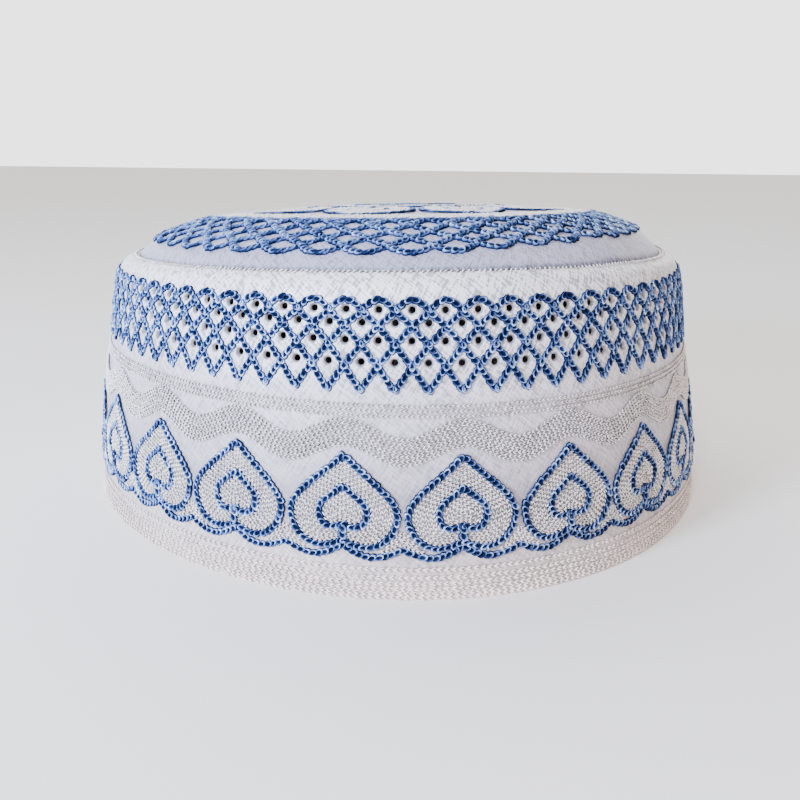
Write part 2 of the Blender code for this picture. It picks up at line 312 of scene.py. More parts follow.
class Mixer:
    """The nodes of one finish or light being mixed."""

    def __init__(self, tree, shader):
        self.tree = tree
        self.shader = tree.nodes[shader]

    def node(self, kind, settings, sockets, output=0):
        """A node with its settings, and the values or waves of its sockets, as a wave."""
        made = self.tree.nodes.new(kind)
        for setting, value in settings.items():
            setattr(made, setting, value)
        for socket, value in sockets.items():
            self.feed(made.inputs[socket], value)
        return Wave(self, made.outputs[output])

    def feed(self, socket, value):
        if isinstance(value, Wave):
            self.tree.links.new(value.socket, socket)
        else:
            socket.default_value = value

    def attribute(self, name):
        return self.node("ShaderNodeAttribute", {"attribute_name": name}, {}, "Fac")

    def position(self):
        return self.node("ShaderNodeTexCoord", {}, {}, "Object")

    def cloth_map(self):
        """The way round the cloth and the way up it, in metres, as two waves."""
        flat = self.node("ShaderNodeUVMap", {"uv_map": "cloth"}, {})
        return self.part(flat, 0), self.part(flat, 1)

    def part(self, where, axis):
        """One of the three parts of a place."""
        return self.node("ShaderNodeSeparateXYZ", {}, {0: where}, axis)

    def noise(self, where, scale, detail=2.0):
        sockets = {"Vector": where, "Scale": scale, "Detail": detail}
        return self.node("ShaderNodeTexNoise", {}, sockets, "Fac")

    def sine(self, value):
        return self.node("ShaderNodeMath", {"operation": "SINE"}, {0: value})

    def absolute(self, value):
        return self.node("ShaderNodeMath", {"operation": "ABSOLUTE"}, {0: value})

    def joined(self, x, y=0.0):
        """A place on a plane, whose two parts are waves or numbers."""
        return self.node("ShaderNodeCombineXYZ", {}, {0: x, 1: y})

    def held(self, value):
        """A wave kept between 0 and 1."""
        return self.node("ShaderNodeClamp", {}, {"Value": value})

    def blend(self, share, first, second):
        """The mix of two colours by a share."""
        settings = {"data_type": "RGBA"}
        return self.node("ShaderNodeMix", settings, {0: share, 6: first, 7: second}, 2)

    def ramp(self, value, stops):
        """A colour that follows a value through stops of place and colour."""
        made = self.node("ShaderNodeValToRGB", {}, {"Fac": value}, "Color")
        elements = made.socket.node.color_ramp.elements
        while len(elements) < len(stops):
            elements.new(0.5)
        for element, (where, colour) in zip(elements, stops):
            element.position = where
            element.color = (*colour, 1.0)
        return made

    def bump(self, height, distance, strength=1.0, over=None):
        sockets = {"Height": height, "Distance": distance, "Strength": strength}
        if over is not None:
            sockets["Normal"] = over
        return self.node("ShaderNodeBump", {}, sockets)

    def finish(self, **sockets):
        for socket, value in sockets.items():
            self.feed(self.shader.inputs[socket.replace("_", " ")], value)


class Paint(Mixer):
    """One finish being mixed: its material, and the nodes that feed its shader."""

    def __init__(self, name, **constants):
        self.material = bpy.data.materials.new(name)
        self.material.use_nodes = True
        super().__init__(self.material.node_tree, "Principled BSDF")
        for socket, value in constants.items():
            self.shader.inputs[socket.replace("_", " ")].default_value = value


# The satin's colours and the share of each where it is mixed in whole; the weave's darks
# also serve as the painted shade under the white stitches.
WEAVE_AND_PAINTED_SHADE = (0.22, 0.215, 0.25)
GRAIN_SHARE = 0.75
# Painted shade in the eyelets' dimples.
DIMPLE_PAINTED_SHADE = (0.20, 0.19, 0.20)
DIMPLE_PAINTED_SHADE_SHARE = 0.8
BED_PAINTED_SHADE_SHARE = 0.36
BED_EDGE = 3.0
SEAM_SHADE = (0.07, 0.07, 0.09)
SEAM_SHADE_REACH = 0.00080
SEAM_SHADE_WIDTH = 1.25
SEAM_SHADE_LEAST = 0.25
SEAM_SPOTS = 850.0
SATIN_TOP = 0.060

# The weave's two slanted patterns: cells a metre round the cloth and up it, first along the
# slant and then across it. Above SHEEN_BAND_FROM the weave shows more, partly as painted glints,
# and the satin is paler as a painted highlight on the shoulder.
STREAKS = ((130, 225), (-1472, 850))
WEAVE = ((210, -176), (990, 1180))
WEAVE_CONTRAST = 2.6
SOFT_GRAIN = 0.8
WEAVE_AND_GLINTS_GRAIN = 3.2
SHEEN_BAND_FROM = 0.0440
SHEEN_BAND_SLOPE = 55.0
PAINTED_SHEEN_PALER = 0.34
MEAN_GREY = 0.26
UNEVEN_GREY = 0.8
UNEVEN_SCALE = 34.0
SATIN_ROUGHNESS = 0.34
WEAVE_ROUGHNESS = 0.4
WEAVE_DEPTH = 0.00030
SOFT_SCALE = 95.0
SOFT_DEPTH = 0.0006


def painted_bed_shade(paint, around, up):
    """Where the satin lies under white stitches and is painted darker as shade: the wavy band and
    the hearts.
    """
    hearts_round = around * (WALL_HEARTS / FLAT_RADIUS) - WALL_HEARTS * WALL_HEART_TURN
    swing = paint.sine(hearts_round + math.pi / 2) * WAVE_SWING
    from_wave = paint.absolute(up - float(run_at_height(WAVE_MIDDLE)) - swing)
    band = paint.held(BED_EDGE - from_wave * (BED_EDGE / WAVE_HALF_WIDTH))
    half_width, half_height = HEART_HALF_SIZE
    aside = paint.sine(hearts_round * 0.5) * (2 * WALL_HEART_RADIUS / WALL_HEARTS / half_width)
    above = (up - float(run_at_height(HEART_CORE[1]))) * (1 / half_height)
    heart = paint.held(BED_EDGE - (aside * aside + above * above) * BED_EDGE)
    return paint.held(band + heart)


def slanted(paint, around, up, pattern):
    """Noise that is drawn out along a slant of the cloth."""
    along, across = pattern
    places = [around * cells[0] + up * cells[1] for cells in (along, across)]
    return paint.noise(paint.joined(*places), 1.0)


def satin(name, stops):
    """White satin whose colour follows the height as painted light and shade, with a slanted weave
    and a soft sheen.
    """
    paint = Paint(name, Sheen_Weight=0.1, Sheen_Roughness=0.35, Specular_IOR_Level=0.5)
    around, up = paint.cloth_map()
    where = paint.position()
    height = paint.part(where, 2)
    streaks = slanted(paint, around, up, STREAKS)
    weave = slanted(paint, around, up, WEAVE)
    uneven = paint.noise(where, UNEVEN_SCALE, 3.0)
    # Higher on the wall the satin is painted paler as a highlight, and its weave stronger, partly
    # as painted glints.
    painted_sheen_band = paint.held((height - SHEEN_BAND_FROM) * SHEEN_BAND_SLOPE)
    grain = (streaks + weave - 1.0) * WEAVE_CONTRAST * (SOFT_GRAIN + painted_sheen_band * WEAVE_AND_GLINTS_GRAIN)
    grey = paint.held(grain + (uneven - 0.5) * UNEVEN_GREY + MEAN_GREY - painted_sheen_band * PAINTED_SHEEN_PALER)
    from_seam = paint.absolute(up - SEAM_RUN - 0.0001) * (1 / SEAM_SHADE_REACH)
    spots = paint.noise(paint.joined(around), SEAM_SPOTS)
    spots = SEAM_SHADE_LEAST + paint.held((spots - 0.45) * 6.0) * (1 - SEAM_SHADE_LEAST)
    # The colour by height is painted light and shade on the wall, and one flat colour on the
    # crown.
    colour = paint.ramp(height * (1 / SATIN_TOP), stops)
    # Mixed in over the colour: the weave's darks, painted shade in the eyelets' dimples and under
    # the white stitches, and the seam's dark spots.
    for share, shade in (
        (grey * GRAIN_SHARE, WEAVE_AND_PAINTED_SHADE),
        (paint.attribute("dimple_painted_shade") * DIMPLE_PAINTED_SHADE_SHARE, DIMPLE_PAINTED_SHADE),
        (painted_bed_shade(paint, around, up) * BED_PAINTED_SHADE_SHARE, WEAVE_AND_PAINTED_SHADE),
        (paint.held(SEAM_SHADE_WIDTH - from_seam) * spots, SEAM_SHADE),
    ):
        colour = paint.blend(share, colour, (*shade, 1))
    soft = paint.bump(paint.noise(where, SOFT_SCALE), SOFT_DEPTH, 0.5)
    paint.finish(
        Base_Color=colour,
        Roughness=SATIN_ROUGHNESS + (weave - 0.5) * WEAVE_ROUGHNESS,
        Normal=paint.bump(weave + streaks * 0.6, WEAVE_DEPTH, 0.9, soft),
    )
    return paint.material


# What a thread's colour is read off by (its painted shade, its tone and its fibres), and where on
# its stitches the gloss begins.
SHADE_SHARE = 0.80
TONE_SHARE = 0.16
FIBRES_SHARE = 0.36
FIBRES = 2400.0
COAT_SLOPE = 1.7
COAT_START = 0.40
COAT_LOST_ASLANT = 0.9
FIBRES_DEPTH = 0.00012


def thread(name, stops, gloss=1.0):
    """Embroidery thread: painted shade in the hollows of each stitch, a painted highlight on its
    crest, and glossy on its crest.
    """
    paint = Paint(name, Specular_IOR_Level=0.0, Coat_IOR=1.8, Coat_Roughness=0.16)
    # shade is each stitch's painted light and shade, tone its random tone.
    shade = paint.attribute("shade")
    tone = paint.attribute("tone")
    fibres = paint.noise(paint.position(), FIBRES, 1.0)
    level = shade * SHADE_SHARE + tone * TONE_SHARE + (fibres - 0.5) * FIBRES_SHARE
    level = paint.held(level)
    aslant = paint.node("ShaderNodeLayerWeight", {}, {"Blend": 0.5}, "Facing")
    coat = paint.held(level * COAT_SLOPE - COAT_START) * (1 - aslant * COAT_LOST_ASLANT)
    paint.finish(
        Base_Color=paint.ramp(level, stops),
        Roughness=0.45,
        Coat_Weight=coat * gloss,
        Normal=paint.bump(fibres, FIBRES_DEPTH, 0.6),
    )
    return paint.material


# The wall's colour by height is painted light and shade: pale and warm at the hem, darker low and
# in the middle of the wall as painted shade, and white at the top as a painted highlight on the
# shoulder.
WALL_SATIN = satin(
    "wall_satin",
    (
        (0.00, (0.86, 0.73, 0.66)),
        (0.20, (0.60, 0.51, 0.49)),
        (0.40, (0.51, 0.45, 0.48)),
        (0.75, (0.68, 0.63, 0.68)),
        (1.00, (0.88, 0.86, 0.90)),
    ),
)
# The crown's white satin is given a darker, bluer colour as painted shade.
CROWN_PAINTED_SHADE_COLOUR = (0.39, 0.385, 0.53)
CROWN_SATIN = satin("crown_satin", ((0.0, CROWN_PAINTED_SHADE_COLOUR), (1.0, CROWN_PAINTED_SHADE_COLOUR)))
# The blue thread's palest stop is near white, as painted glints on the stitches' crests.
BLUE_THREAD = thread(
    "blue_thread",
    (
        (0.06, (0.004, 0.008, 0.028)),
        (0.26, (0.013, 0.026, 0.085)),
        (0.45, (0.075, 0.130, 0.320)),
        (0.64, (0.240, 0.360, 0.690)),
        (0.80, (0.740, 0.890, 1.000)),
    ),
    gloss=0.9,
)
WHITE_THREAD = thread(
    "white_thread",
    (
        (0.00, (0.09, 0.085, 0.093)),
        (0.24, (0.33, 0.305, 0.305)),
        (0.44, (0.82, 0.750, 0.730)),
        (0.72, (1.00, 0.945, 0.920)),
    ),
)
HEM_THREAD = thread(
    "hem_thread",
    (
        (0.00, (0.30, 0.250, 0.235)),
        (0.26, (0.60, 0.515, 0.485)),
        (0.46, (0.96, 0.810, 0.730)),
        (0.72, (1.00, 0.900, 0.835)),
    ),
)


Stitch = collections.namedtuple("Stitch", "points faces shade")


def stitch_of(mesh, shade):
    """A small mesh as a stitch to copy, with a painted shade worked out for each of its points."""
    mesh.verts.ensure_lookup_table()
    bmesh.ops.recalc_face_normals(mesh, faces=mesh.faces[:])
    points = np.array([vert.co[:] for vert in mesh.verts])
    faces = [[vert.index for vert in face.verts] for face in mesh.faces]
    mesh.free()
    return Stitch(points, faces, np.array([shade(point) for point in points]))


# A chain link's shape in its unit box: its crest as a share of its foot, the edge round its
# hollow, how the hollow is drawn out and sunk, how the link widens and rises from its tail, and
# how far it overlaps the next and slants.
LINK_SIDES = 8
LINK_CREST = 0.72
LINK_EDGE = 0.15
LINK_HOLLOW_LENGTH = 1.1
LINK_HOLLOW_WIDTH = 0.62
LINK_HOLLOW_DEPTH = 0.70
LINK_TAIL_WIDTH = 0.80
LINK_WIDENS = 0.24
LINK_TAIL_SINKS = 0.24
LINK_RISES = 0.42
LINK_OVERLAP = 1.6
LINK_SLANT = 0.35


def chain_link():
    """One loop of chain stitch in a unit box: along X, across Y and up from the cloth on Z."""
    mesh = bmesh.new()
    bmesh.ops.create_circle(mesh, cap_ends=True, segments=LINK_SIDES, radius=0.5)
    raised = bmesh.ops.extrude_face_region(mesh, geom=mesh.faces[:])["geom"]
    crest = [item for item in raised if isinstance(item, bmesh.types.BMVert)]
    top = [item for item in raised if isinstance(item, bmesh.types.BMFace)]
    bmesh.ops.scale(mesh, verts=crest, vec=(LINK_CREST, LINK_CREST, 1.0))
    bmesh.ops.translate(mesh, verts=crest, vec=(0.0, 0.0, 1.0))
    bmesh.ops.inset_individual(mesh, faces=top, thickness=LINK_EDGE)
    hollow = [vert for face in top for vert in face.verts]
    bmesh.ops.translate(mesh, verts=hollow, vec=(0.0, 0.0, -LINK_HOLLOW_DEPTH))
    bmesh.ops.scale(mesh, verts=hollow, vec=(LINK_HOLLOW_LENGTH, LINK_HOLLOW_WIDTH, 1.0))
    for vert in mesh.verts:
        forward = vert.co.x + 0.5
        vert.co.y *= LINK_TAIL_WIDTH + LINK_WIDENS * forward
        if vert.co.z > 0.1:
            vert.co.z += LINK_RISES * forward - LINK_TAIL_SINKS
        vert.co.x = (vert.co.x + LINK_SLANT * vert.co.y) * LINK_OVERLAP

    def shade(point):
        """Painted shade and highlight: dark at the foot, darkest in the hollow, and paler along
        the link and across it.
        """
        along = point[0] / LINK_OVERLAP - LINK_SLANT * point[1]
        if point[2] < 0.05:
            return 0.10
        if point[2] < 0.75 and math.hypot(along, point[1]) < 0.29:
            return 0.03
        return 0.64 + 0.75 * along + 0.50 * point[1]

    return stitch_of(mesh, shade)


STRAND_LENGTH = 1.30
STRAND_MIDDLE = 0.42


def strands(slimness, *slants):
    """Strands side by side, each as wide as this share of the row, with its slant to the row
    in degrees and its place across the row."""
    mesh = bmesh.new()
    for slant, across in slants:
        turned = Matrix.Rotation(math.radians(slant), 4, "Z")
        size = Matrix.Diagonal((STRAND_LENGTH, slimness, 1.0, 1.0))
        lying = Matrix.Rotation(math.radians(90), 4, "Y")
        shift = Matrix.Translation((0.0, across, STRAND_MIDDLE))
        bmesh.ops.create_uvsphere(
            mesh, u_segments=4, v_segments=2, radius=0.5, matrix=shift @ turned @ size @ lying
        )

    def shade(point):
        """Painted highlight and shade: white on the crest, paler at the ends and dark at the foot.
        """
        if point[2] > 0.8:
            return 1.0
        return 0.6 if abs(point[0]) > 0.4 else 0.12

    return stitch_of(mesh, shade)


CHAIN = chain_link()
TWIN_STRANDS = strands(0.44, (-26, -0.24), (26, 0.24))
LOOSE_STRANDS = strands(0.34, (-30, -0.24), (30, 0.24))
SLANTED_STRAND = strands(0.44, (48, 0.0))

# How unevenly a hand sews: shares of a stitch's pitch and sizes, its slants, and its tone.
UNEVEN_PLACE = 0.10
UNEVEN_AIM = 0.15
UNEVEN_LEAN = 0.10
UNEVEN_LENGTH = 0.05
UNEVEN_WIDTH = 0.06
UNEVEN_HEIGHT = 0.08
UNEVEN_TONE = 0.45


def add_piece(name, data, material, nodes):
    """Puts a mesh into the scene as a piece of the cap that replaces these nodes, if any."""
    data.materials.append(material)
    piece = bpy.data.objects.new(name, data)
    bpy.context.scene.collection.objects.link(piece)
    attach(piece, "root")
    if nodes:
        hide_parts(*nodes)
    return piece


class Embroidery:
    """Rows of one kind of stitch, gathered and then made into one piece."""

    def __init__(self, stitch, pitch, width, height, seed):
        self.stitch = stitch
        self.pitch = pitch
        self.width = width
        self.height = height
        self.chance = np.random.default_rng(seed)
        self.rows = []

    def row(self, turns, runs, widths=1.0, lift=0.0):
        """Stitches one row along a line on the cloth. widths are shares of the usual width."""
        line = on_cap(runs, turns)
        gone = np.concatenate([[0.0], np.cumsum(np.linalg.norm(np.diff(line, axis=0), axis=1))])
        count = max(1, round(gone[-1] / self.pitch))
        pitch = gone[-1] / count
        marks = (np.arange(count) + 0.5) * pitch
        marks = marks + self.chance.uniform(-UNEVEN_PLACE, UNEVEN_PLACE, count) * pitch

        def at(mark):
            return np.interp(mark, gone, runs), np.interp(mark, gone, turns)

        middle = on_cap(*at(marks))
        out = unit(on_cap(*at(marks), 0.001) - middle)
        ahead = unit(on_cap(*at(marks + pitch / 2)) - on_cap(*at(marks - pitch / 2)))
        aim = self.chance.normal(0, UNEVEN_AIM, (count, 1))
        ahead = unit(ahead + np.cross(out, ahead) * aim)
        lean = self.chance.normal(0, UNEVEN_LEAN, (count, 1))
        out = unit(out + np.cross(out, ahead) * lean)
        across = np.cross(out, ahead)
        share = np.interp(marks, gone, widths) if np.ndim(widths) else np.full(count, widths)
        length = pitch * self.chance.normal(1.0, UNEVEN_LENGTH, count)
        width = self.width * share * self.chance.normal(1.0, UNEVEN_WIDTH, count)
        height = self.height * self.chance.normal(1.0, UNEVEN_HEIGHT, count)
        middle = middle + out * lift
        self.rows.append((middle, ahead, across, out, length, width, height))

    def make(self, name, material, slot, *nodes):
        """Makes all the rows into one piece. No stitch reaches below the floor."""
        parts = [np.concatenate(column) for column in zip(*self.rows)]
        middle, ahead, across, out, length, width, height = parts
        points = self.stitch.points
        placed = (
            middle[:, None]
            + ahead[:, None] * (points[None, :, 0:1] * length[:, None, None])
            + across[:, None] * (points[None, :, 1:2] * width[:, None, None])
            + out[:, None] * (points[None, :, 2:3] * height[:, None, None])
        )
        placed[..., 2] = placed[..., 2].clip(min=0.0)
        count = len(middle)
        starts = np.arange(count) * len(points)
        faces = [
            [corner + start for corner in face]
            for start in starts.tolist()
            for face in self.stitch.faces
        ]
        data = bpy.data.meshes.new(name)
        data.from_pydata(placed.reshape(-1, 3).tolist(), [], faces)
        tone = self.chance.normal(0.0, UNEVEN_TONE, count).clip(-1, 1)
        # Each point's painted light and shade, and each stitch's random tone.
        for attribute, values in (
            ("shade", np.tile(self.stitch.shade, count)),
            ("tone", np.repeat(tone, len(points))),
        ):
            data.attributes.new(attribute, "FLOAT", "POINT").data.foreach_set("value", values)
        data.shade_smooth()
        return add_piece(name, data, material, nodes)


ROUND = np.linspace(-math.pi, math.pi, 1441)


def ring(heights):
    """A line right round the wall at these heights."""
    return ROUND, run_at_height(np.broadcast_to(heights, ROUND.shape))


def crown_circle(radii):
    """A line right round the crown at these radii."""
    return ROUND, run_at_radius(np.broadcast_to(radii, ROUND.shape))


def lattice_lines(columns, first_turn, level_runs):
    """The slanting lines of a lattice, which start in pairs from the tops of its scallops."""
    cell = np.linspace(0, 1, 25)
    lower = [cell[1:] + step for step in range(1, len(level_runs) - 1)]
    levels = np.concatenate([cell**2, *lower])
    arc = np.sqrt(np.clip(levels * (2 - levels), 0, 1))
    rounded = LATTICE_ROUNDING * arc + (1 - LATTICE_ROUNDING) * levels
    sideways = np.where(levels < 1, rounded, levels) / 2
    runs = np.interp(levels, np.arange(len(level_runs)), level_runs)
    for column in range(columns):
        for side in (-1, 1):
            turns = first_turn + (column + side * sideways) * 2 * math.pi / columns
            yield turns, runs


def lerp(first, second, share):
    return tuple(a + (b - a) * share for a, b in zip(first, second))


def heart_between(outer, inner, share):
    """The curves of a heart's side, part of the way from an outer to an inner one."""
    return [HeartCurve(*(lerp(a, b, share) for a, b in zip(*pair))) for pair in zip(outer, inner)]


def heart_line(side):
    """The points round a heart: from its tip down its right side and back up its left."""
    right = []
    for curve in side:
        knots = [Vector((across, height, 0.0)) for across, height in curve]
        right += geometry.interpolate_bezier(*knots, HEART_CURVE_STEPS + 1)[:-1]
    right.append(Vector((*side[-1].end, 0.0)))
    across, height = np.array([point[:2] for point in right]).T
    return np.concatenate([across, -across[-2::-1]]), np.concatenate([height, height[-2::-1]])


CORE_SIDE = [HeartCurve(*[HEART_CORE] * 4)] * 3
NARROWEST_ROW = 0.55
WIDEST_ROW = 1.3


def heart_rows(outer, inner, shares):
    """The fill rows of a heart, with the share of the usual width that each has to cover."""
    step = shares[1] - shares[0]
    for share in shares:
        across, height = heart_line(heart_between(outer, inner, share))
        next_across, next_height = heart_line(heart_between(outer, inner, share + step / 2))
        last_across, last_height = heart_line(heart_between(outer, inner, share - step / 2))
        along = unit(np.stack([np.gradient(across), np.gradient(height)], axis=-1) + 1e-12)
        apart = np.stack([next_across - last_across, next_height - last_height], axis=-1)
        spacing = np.abs(apart[:, 0] * along[:, 1] - apart[:, 1] * along[:, 0])
        yield across, height, np.clip(spacing / ROW_SPACING, NARROWEST_ROW, WIDEST_ROW)


RING_SHARES = np.linspace(0.205, 0.815, 5)
CORE_SHARES = np.linspace(0.26, 0.86, 4)
STEM = (np.zeros(9), np.linspace(0.0176, 0.0143, 9))
FILL_LIFT = 0.0001
OUTLINE_LIFT = 0.0002
EYE_LIFT = 0.0003
STEM_LIFT = 0.0005


def wall_hearts():
    """For each heart of the wall, the way to lay its flat lines on the cloth."""
    for number in range(WALL_HEARTS):
        middle = WALL_HEART_TURN + 2 * math.pi * number / WALL_HEARTS

        def lay(across, height, middle=middle):
            return middle + across / WALL_HEART_RADIUS, run_at_height(height)

        yield lay


def crown_hearts():
    """For each heart of the crown, the way to lay its flat lines on the cloth."""
    for number in range(CROWN_HEARTS):
        middle = CROWN_HEART_TURN + 2 * math.pi * number / CROWN_HEARTS

        def lay(across, height, middle=middle):
            outwards = CROWN_HEART_NOTCH + height - HEART_SIDE[-1].end[1]
            turns = middle + np.arctan2(across, outwards)
            return turns, run_at_radius(np.hypot(across, outwards))

        yield lay


def blue_embroidery(seed, bulk=1.0):
    return Embroidery(CHAIN, BLUE_PITCH, BLUE_WIDTH * bulk, BLUE_HEIGHT * bulk, seed)


def white_embroidery(seed, bulk=1.0, stitch=TWIN_STRANDS):
    return Embroidery(stitch, WHITE_PITCH, WHITE_WIDTH, WHITE_HEIGHT * bulk, seed)


def make_wall_lattice():
    lattice = blue_embroidery(1)
    for turns, runs in lattice_lines(
        WALL_LATTICE_COLUMNS, WALL_LATTICE_TURN, run_at_height(WALL_LATTICE_HEIGHTS)
    ):
        lattice.row(turns, runs)
    lattice.make("wall_lattice", BLUE_THREAD, "blue_thread")


def crown_lattice_shift(turns, runs):
    """How much further in the lattice's outer edge lies on the crown's right."""
    outer, inner = run_at_radius((CROWN_LATTICE_RADII[0], CROWN_LATTICE_RADII[-1]))
    to_the_right = share_of(np.sin(turns), 0.10, 0.40)
    return CROWN_LATTICE_SHIFT * to_the_right * share_of(runs, inner, outer)


def make_crown_lattice():
    lattice = blue_embroidery(2, bulk=1.20)
    for turns, runs in lattice_lines(
        CROWN_LATTICE_COLUMNS, CROWN_LATTICE_TURN, run_at_radius(CROWN_LATTICE_RADII)
    ):
        lattice.row(turns, runs + crown_lattice_shift(turns, runs))
    lattice.row(*crown_circle(CROWN_LATTICE_RADII[-1]))
    lattice.make("crown_lattice", BLUE_THREAD, "blue_thread")


def numbered(name, count):
    """The names of this many nodes of one kind."""
    return [f"{name}_{number + 1:02d}" for number in range(count)]


def make_heart_outlines(name, hearts, seed, bulk=1.0):
    outlines = blue_embroidery(seed, bulk)
    for lay in hearts:
        for side in (HEART_SIDE, INNER_HEART_SIDE):
            outlines.row(*lay(*heart_line(side)), lift=OUTLINE_LIFT)
        outlines.row(*lay(*STEM), widths=1.2, lift=STEM_LIFT)
    outlines.make(name, BLUE_THREAD, "blue_thread")


def make_heart_fill(name, hearts, seed, nodes, bulk=1.0):
    fill = white_embroidery(seed, bulk)
    for lay in hearts:
        for outer, inner, shares in (
            (HEART_SIDE, INNER_HEART_SIDE, RING_SHARES),
            (INNER_HEART_SIDE, CORE_SIDE, CORE_SHARES),
        ):
            for across, height, widths in heart_rows(outer, inner, shares):
                fill.row(*lay(across, height), widths=widths, lift=FILL_LIFT)
    fill.make(name, WHITE_THREAD, "white_thread", *nodes)


SCALLOP_LOW = 0.0100
SCALLOP_UNDER_STEM = 0.0128
SCALLOP_BETWEEN = 0.0121
SCALLOP_ROUNDING = 1.8


def scallop_height(turns):
    """The height of the blue line that sags under each lobe of each heart."""
    lobes = (turns - WALL_HEART_TURN) * WALL_HEARTS / math.pi
    nearest = np.round(lobes)
    peak = np.where(nearest % 2 == 0, SCALLOP_UNDER_STEM, SCALLOP_BETWEEN)
    rise = np.abs(1 - 2 * np.abs(lobes - nearest)) ** SCALLOP_ROUNDING
    return SCALLOP_LOW + (peak - SCALLOP_LOW) * rise


def make_scallops():
    scallops = blue_embroidery(5)
    scallops.row(*ring(scallop_height(ROUND)))
    scallops.make("scallop_line", BLUE_THREAD, "blue_thread")


GapRow = collections.namedtuple("GapRow", "above half_width")
GAP_ROWS = (
    GapRow(0.0012, 0.0050),
    GapRow(0.0021, 0.0038),
    GapRow(0.0030, 0.0028),
    GapRow(0.0039, 0.0018),
)


def make_gap_rows():
    """The short white rows that fill the foot of each gap between two hearts."""
    gaps = white_embroidery(15, bulk=1.2)
    for number in range(WALL_HEARTS):
        middle = WALL_HEART_TURN + math.pi * (2 * number + 1) / WALL_HEARTS
        for row in GAP_ROWS:
            turns = middle + np.linspace(-row.half_width, row.half_width, 15) / WALL_HEART_RADIUS
            gaps.row(turns, run_at_height(scallop_height(turns) + row.above))
    gaps.make("gap_rows", WHITE_THREAD, "white_thread")


WAVE_ROWS = 7
UPPER_ROWS = (0.0443, 0.0432, 0.0421)


def make_wave_band():
    band = white_embroidery(6, bulk=1.35, stitch=LOOSE_STRANDS)
    swing = WAVE_SWING * np.cos(WALL_HEARTS * (ROUND - WALL_HEART_TURN))
    for number in range(WAVE_ROWS):
        band.row(*ring(WAVE_MIDDLE + swing + (number - (WAVE_ROWS - 1) / 2) * ROW_SPACING))
    band.make("wave_stitches", WHITE_THREAD, "white_thread", "wave_band")


def make_upper_rows():
    rows = white_embroidery(7, bulk=1.2, stitch=LOOSE_STRANDS)
    for height in UPPER_ROWS:
        rows.row(*ring(height), widths=0.9)
    rows.make("upper_rows", WHITE_THREAD, "white_thread")


HEM_ROWS = (0.0073, 0.0054, 0.0040, 0.0027, 0.0017, 0.0008)


def make_hem_rows():
    hem = Embroidery(TWIN_STRANDS, HEM_PITCH, HEM_WIDTH, HEM_HEIGHT, 8)
    for height in HEM_ROWS:
        hem.row(*ring(height))
    hem.make("hem_rows", HEM_THREAD, "white_thread")


CROWN_RING_ROWS = 7
CROWN_RING_OUTSIDE = 0.0561
EYE_RADIUS = 0.0208
EYE_FILL_RADIUS = 0.0197
PETALS_RADIUS = 0.0125
PETALS_SWING = 0.0028
PUPIL_RADIUS = 0.0052


def make_crown_rings():
    rings = white_embroidery(9, bulk=1.5)
    for number in range(CROWN_RING_ROWS):
        rings.row(*crown_circle(CROWN_RING_OUTSIDE - number * ROW_SPACING))
    rings.make("crown_ring_stitches", WHITE_THREAD, "white_thread", "crown_ring")


def make_crown_eye():
    eye = white_embroidery(10)
    for radius in np.arange(EYE_FILL_RADIUS, ROW_SPACING, -ROW_SPACING):
        eye.row(*crown_circle(radius))
    eye.make("eye_stitches", WHITE_THREAD, "white_thread", "crown_eye")
    outline = blue_embroidery(11, bulk=0.7)
    outline.row(*crown_circle(EYE_RADIUS))
    swing = np.abs(np.cos(CROWN_HEARTS / 2 * (ROUND - CROWN_HEART_TURN)))
    outline.row(*crown_circle(PETALS_RADIUS + PETALS_SWING * swing), lift=EYE_LIFT)
    outline.row(*crown_circle(PUPIL_RADIUS), lift=EYE_LIFT)
    outline.make("eye_outline", BLUE_THREAD, "blue_thread")


SEAM_STITCH_PITCH = 0.00125
SEAM_STITCH_WIDTH = 0.00160
SEAM_STITCH_HEIGHT = 0.00045
SEAM_STITCHES_BELOW = 0.00100


def make_seam_stitches():
    """Short slanting stitches along the wall's side of the seam."""
    seam = Embroidery(
        SLANTED_STRAND, SEAM_STITCH_PITCH, SEAM_STITCH_WIDTH, SEAM_STITCH_HEIGHT, 12
    )
    seam.row(ROUND, SEAM_RUN - SEAM_STITCHES_BELOW + 0 * ROUND)
    seam.make("seam_stitches", WHITE_THREAD, "white_thread", "seam_thread")


# The satin itself, made flat and then laid on the cap's shape.
EYELET_HEIGHTS = (0.0646, 0.0619, 0.0582, 0.0536)
EYELET_SHIFTS = (0.0, 0.5, 0.0, 0.5)
CELLS_PER_COLUMN = 8
EYELET_REACH = (EYELET_HEIGHTS[0] - EYELET_HEIGHTS[1]) / 2
EyeletRing = collections.namedtuple("EyeletRing", "radius sink")
EYELET_RINGS = (
    EyeletRing(0.00122, 0.00006),
    EyeletRing(0.00096, 0.00034),
    EyeletRing(0.00072, 0.00095),
)

# The heights of the wall's rows of corners, and how far apart they are over the shoulder.
RIM_ROWS = (0.0, 0.0010, 0.0025)
PLAIN_ROWS = np.arange(0.0045, 0.0460, 0.0030)
CLOSE_ROWS = np.arange(0.0470, 0.0520, 0.0009)
ROWS_BETWEEN_EYELETS = (0.0559, 0.0600)
SHOULDER_ROW_STEP = 0.0007


def wall_row_runs():
    """The runs of the wall's rows of corners, close together where eyelets need them."""
    heights = [*RIM_ROWS, *PLAIN_ROWS, *CLOSE_ROWS, *ROWS_BETWEEN_EYELETS]
    for middle in EYELET_HEIGHTS:
        heights += list(middle + EYELET_REACH * np.array([-1, -0.5, 0, 0.5, 1]))
    runs = sorted(float(run_at_height(height)) for height in heights)
    apart = [runs[0]] + [b for a, b in zip(runs, runs[1:]) if b - a > 0.0001]
    above = np.arange(apart[-1] + SHOULDER_ROW_STEP, SEAM_RUN - 0.0005, SHOULDER_ROW_STEP)
    return np.array([*apart, *above, SEAM_RUN - 0.0001])


